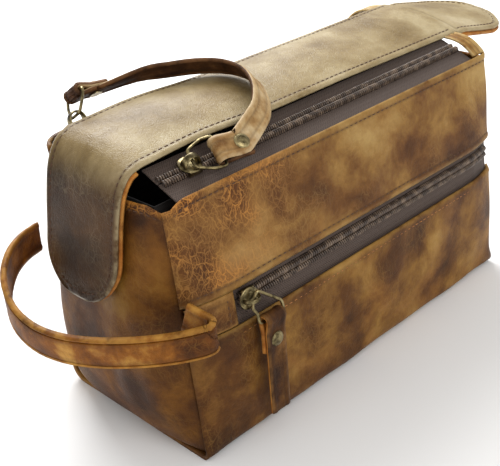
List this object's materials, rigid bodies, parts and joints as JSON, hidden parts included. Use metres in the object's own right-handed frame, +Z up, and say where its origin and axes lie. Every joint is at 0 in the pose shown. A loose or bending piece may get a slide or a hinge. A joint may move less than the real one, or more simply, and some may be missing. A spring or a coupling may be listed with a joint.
{
  "type": "toiletry bag",
  "caption": "Leather dopp-style toiletry bag: lid strip between two zips, zipped front pocket, end loop handle and a pull strap joining the lid sliders",
  "frame": {"origin": "centre of the flat base the bag stands on", "axes": "+X along the bag to the end without the handle, -Y to the front with the zipped pocket, +Z up through the lid"},
  "size_m": [0.3622, 0.1374, 0.1716],
  "materials": {
    "brown_leather": "oiled buffalo leather, patchy golden and dark brown, softly worn",
    "pale_leather": "the same leather where it is rubbed pale tan",
    "dark_leather": "the same leather where it is darkened, with orange cut edges",
    "tape_cloth": "woven dark brown zip tape, matt",
    "coil_plastic": "moulded nylon coil, near black, dull shine",
    "lining_cloth": "thin dark woven lining, matt",
    "board_fibre": "pressed fibre stiffener, hidden",
    "antique_brass": "aged brass, dark in the hollows and rubbed bright on the edges"
  },
  "bodies": {
    "bag": {"main_wrap": "brown_leather", "front_upper_panel": "brown_leather", "pocket_end_patch": "brown_leather", "left_end_panel": "brown_leather", "right_end_panel": "brown_leather", "base_board": "board_fibre", "lining": "lining_cloth", "pocket_bag": "lining_cloth", "pocket_zip_lower_tape": "tape_cloth", "pocket_zip_upper_tape": "tape_cloth", "pocket_zip_lower_coil": "coil_plastic", "pocket_zip_upper_coil": "coil_plastic", "front_zip_body_tape": "tape_cloth", "rear_zip_body_tape": "tape_cloth", "front_zip_body_coil": "coil_plastic", "rear_zip_body_coil": "coil_plastic", "front_zip_end_tab": "pale_leather", "rear_zip_end_tab": "pale_leather"},
    "lid": {"lid_panel": "brown_leather", "lid_lining": "lining_cloth", "front_zip_lid_tape": "tape_cloth", "rear_zip_lid_tape": "tape_cloth", "front_zip_lid_coil": "coil_plastic", "rear_zip_lid_coil": "coil_plastic"},
    "left_tongue": {"left_tongue_face": "dark_leather", "left_tongue_backing": "brown_leather"},
    "right_tongue": {"right_tongue_face": "pale_leather", "right_tongue_backing": "brown_leather"},
    "front_slider_body": {"front_slider": "antique_brass"},
    "rear_slider_body": {"rear_slider": "antique_brass"},
    "strap": {"pull_strap": "pale_leather", "front_pull_ring": "antique_brass", "rear_pull_ring": "antique_brass", "front_strap_rivet": "antique_brass", "rear_strap_rivet": "antique_brass"},
    "handle": {"handle_loop": "brown_leather"},
    "pocket_slider_body": {"pocket_slider": "antique_brass"},
    "pocket_ring": {"pocket_pull_ring": "antique_brass"},
    "pocket_tab": {"pocket_pull_tab": "brown_leather", "pocket_tab_rivet": "antique_brass"}
  },
  "joints": [
    {"name": "lid_hinge", "type": "hinge", "parent": "bag", "child": "lid", "pos_m": [0.128, 0, 0.147], "axis": [0, 1, 0], "range_deg": [0, 75]},
    {"name": "front_slider_run", "type": "slide", "parent": "lid", "child": "front_slider_body", "axis": [1, 0, 0], "range_m": [0, 0.205]},
    {"name": "rear_slider_run", "type": "slide", "parent": "lid", "child": "rear_slider_body", "axis": [1, 0, 0], "range_m": [0, 0.205]},
    {"name": "strap_pivot", "type": "hinge", "parent": "front_slider_body", "child": "strap", "pos_m": [-0.097, -0.0377, 0.14863], "axis": [0.1186, -0.9877, -0.1016], "range_deg": [0, 60]},
    {"name": "left_tongue_bend", "type": "hinge", "parent": "lid", "child": "left_tongue", "pos_m": [-0.118, 0, 0.1592], "axis": [0, 1, 0], "range_deg": [0, 75], "stiffness_Nm_per_rad": 0.05},
    {"name": "right_tongue_bend", "type": "hinge", "parent": "lid", "child": "right_tongue", "pos_m": [0.1264, 0, 0.1577], "axis": [0, -1, 0], "range_deg": [0, 35], "stiffness_Nm_per_rad": 0.15},
    {"name": "handle_bend", "type": "hinge", "parent": "bag", "child": "handle", "pos_m": [-0.1265, 0, 0.089], "axis": [0, 1, 0], "range_deg": [-25, 25], "stiffness_Nm_per_rad": 0.15},
    {"name": "pocket_slider_run", "type": "slide", "parent": "bag", "child": "pocket_slider_body", "axis": [1, 0, 0], "range_m": [0, 0.18]},
    {"name": "pocket_ring_pivot", "type": "hinge", "parent": "pocket_slider_body", "child": "pocket_ring", "pos_m": [-0.0905, -0.06395, 0.08049], "axis": [-0.4191, 0, -0.908], "range_deg": [0, 85]},
    {"name": "pocket_tab_pivot", "type": "hinge", "parent": "pocket_ring", "child": "pocket_tab", "pos_m": [-0.0827, -0.06695, 0.06799], "axis": [-1, 0, 0], "range_deg": [0, 120]}
  ],
  "couplings": [
    {"joint": "front_slider_run", "follows": "lid_hinge", "m_per_rad": 0.1565},
    {"joint": "rear_slider_run", "follows": "lid_hinge", "m_per_rad": 0.1565}
  ]
}
